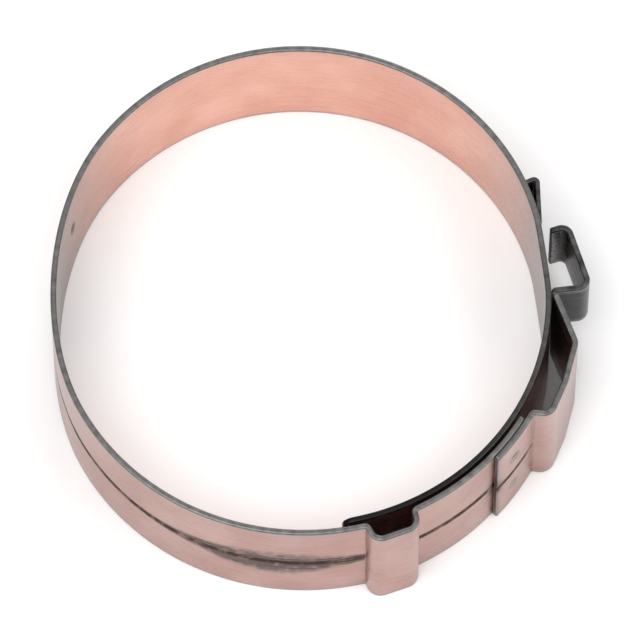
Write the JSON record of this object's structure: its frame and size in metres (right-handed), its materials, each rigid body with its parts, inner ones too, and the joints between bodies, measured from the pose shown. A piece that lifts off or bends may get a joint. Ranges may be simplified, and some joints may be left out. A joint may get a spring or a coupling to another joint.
{
  "type": "spring band hose clamp",
  "caption": "Low-profile spring steel band clamp for a hose, shown open, with an inner tongue, a stretch wave in the band and a hook that snaps behind a welded catch.",
  "frame": {"origin": "on the hose axis, at half the band's width", "axes": "+Z along the hose axis, +X from the hose axis to the latch"},
  "size_m": [0.0448, 0.0449, 0.012],
  "materials": {
    "band_steel": "rolled spring steel strip with a copper-pink passivated finish",
    "latch_steel": "dark oiled spring steel",
    "weld_steel": "heat-tinted spot weld"
  },
  "bodies": {
    "upper": {"band_upper": "band_steel", "catch": "latch_steel", "catch_welds": "weld_steel"},
    "tongue": {"tongue": "band_steel"},
    "lower": {"band_lower": "band_steel", "hook_strap": "band_steel", "lap_welds": "weld_steel"},
    "hook": {"hook": "latch_steel"}
  },
  "joints": [
    {"name": "band_close", "type": "hinge", "parent": "upper", "child": "lower", "pos_m": [-0.0205, 0, 0], "axis": [0, 0, 1], "range_deg": [0, 7.55], "stiffness_Nm_per_rad": 0.05},
    {"name": "tongue_follow", "type": "hinge", "parent": "upper", "child": "tongue", "pos_m": [0.02045, 0.0014, 0], "axis": [0, 0, 1], "range_deg": [-7.4, 0]},
    {"name": "hook_snap", "type": "hinge", "parent": "lower", "child": "hook", "pos_m": [0.02092, -0.00146, 0], "axis": [0, 0, 1], "range_deg": [0, 6.5], "stiffness_Nm_per_rad": 0.02}
  ],
  "couplings": [
    {"joint": "tongue_follow", "follows": "band_close", "ratio": -0.98}
  ]
}
